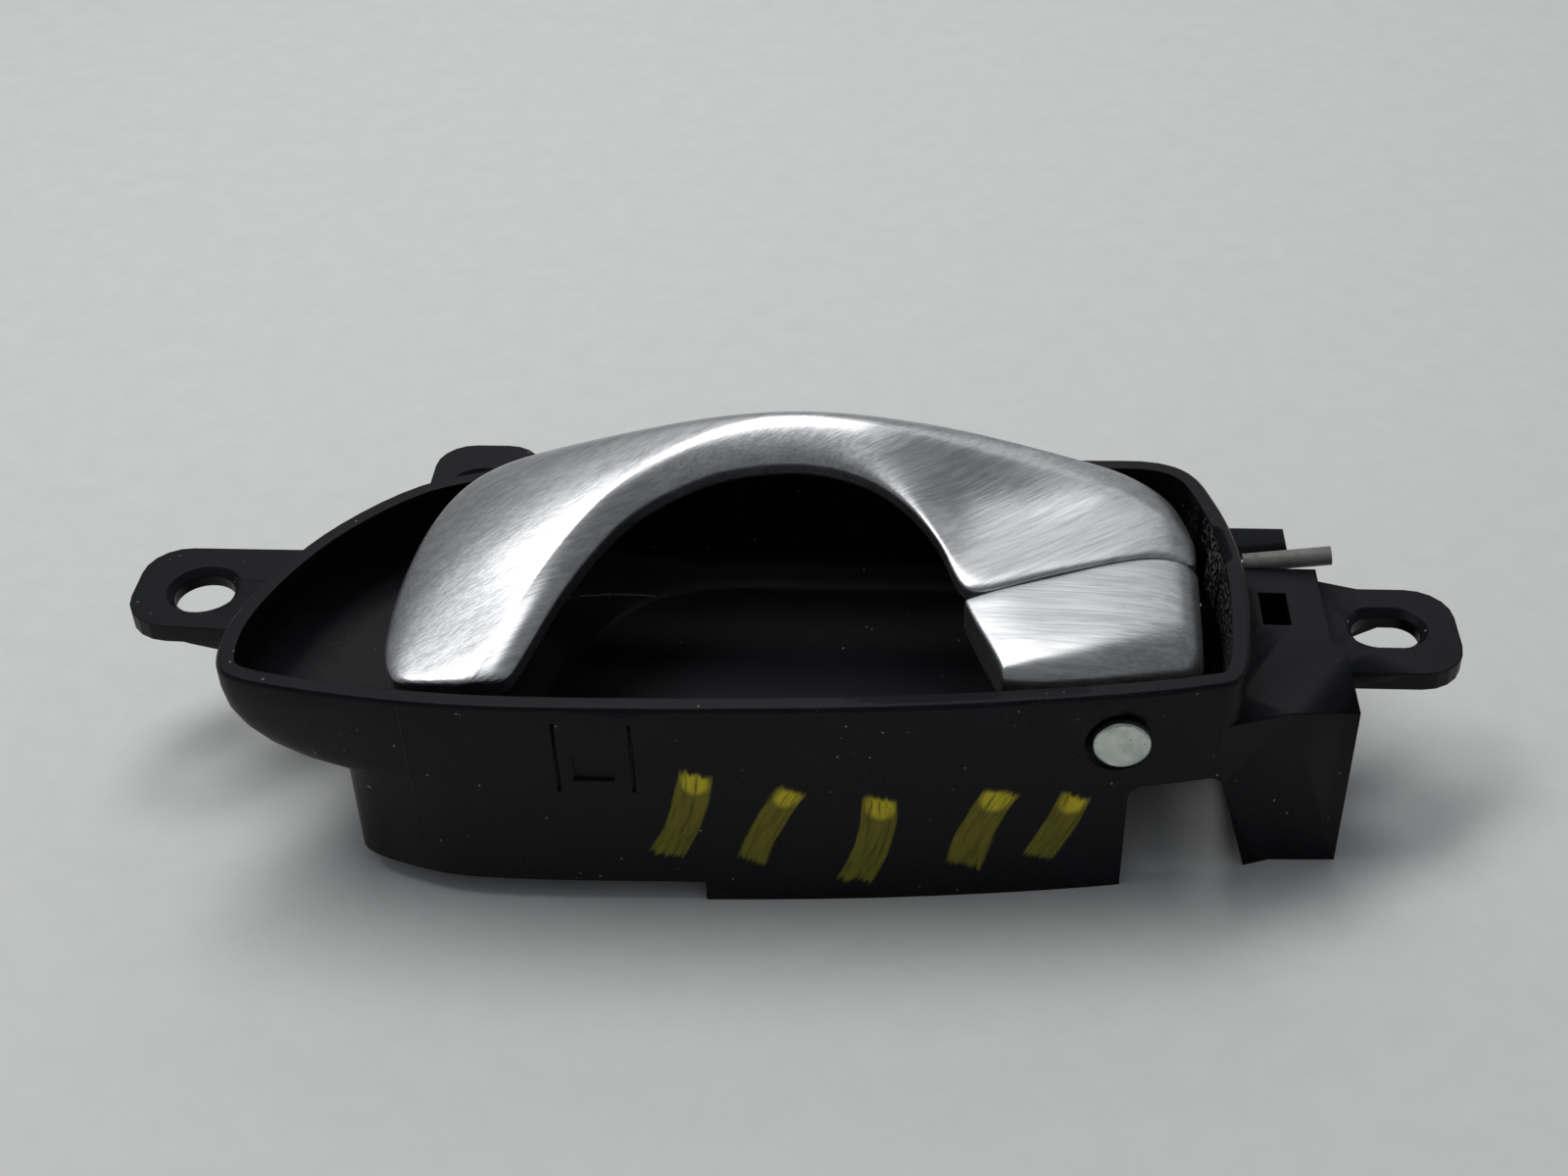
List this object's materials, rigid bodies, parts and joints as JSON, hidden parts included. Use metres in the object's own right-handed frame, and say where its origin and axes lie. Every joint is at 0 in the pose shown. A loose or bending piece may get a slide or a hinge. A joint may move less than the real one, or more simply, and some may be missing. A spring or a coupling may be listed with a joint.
{
  "type": "interior car door handle",
  "caption": "Interior car door release handle: black cup housing with lugs, arched silver lever with return spring, and a lock knob on the same pin.",
  "frame": {"origin": "centre of the bounding box in plan, at the base the housing stands on", "axes": "+Z out of the finger cup (towards the cabin when fitted), +X along the housing to the pivot end, +Y to the side with the single long lug"},
  "size_m": [0.2, 0.077, 0.0506],
  "materials": {
    "housing": "fine-grained satin black plastic",
    "pivot_pin": "zinc plated",
    "pin_retainer": "spring steel",
    "front_spacer": "natural nylon",
    "rear_spacer": "natural nylon",
    "knob_spacer": "natural nylon",
    "wave_washer": "spring steel",
    "spring_bobbin": "natural nylon",
    "rest_bumper": "matte",
    "open_bumper": "matte",
    "return_spring": "drawn wire",
    "spring_sleeve": "dull grey",
    "release_lever": "brushed satin silver",
    "lever_core": "moulded black",
    "lock_knob": "brushed satin silver",
    "knob_core": "moulded black"
  },
  "bodies": {
    "base": {"housing": "housing", "pivot_pin": "pivot_pin", "pin_retainer": "pin_retainer", "front_spacer": "front_spacer", "rear_spacer": "rear_spacer", "knob_spacer": "knob_spacer", "spring_bobbin": "spring_bobbin", "rest_bumper": "rest_bumper", "open_bumper": "open_bumper", "return_spring": "return_spring", "spring_sleeve": "spring_sleeve"},
    "lever": {"release_lever": "release_lever", "lever_core": "lever_core", "wave_washer": "wave_washer"},
    "knob": {"lock_knob": "lock_knob", "knob_core": "knob_core"}
  },
  "joints": [
    {"name": "lever_hinge", "type": "hinge", "parent": "base", "child": "lever", "pos_m": [0.0491, 0.004, 0.0283], "axis": [0, 1, 0], "range_deg": [0, 24], "stiffness_Nm_per_rad": 0.4, "springref_deg": -22.92},
    {"name": "knob_hinge", "type": "hinge", "parent": "lever", "child": "knob", "pos_m": [0.0491, -0.012, 0.0283], "axis": [0, 1, 0], "range_deg": [0, 12]}
  ]
}
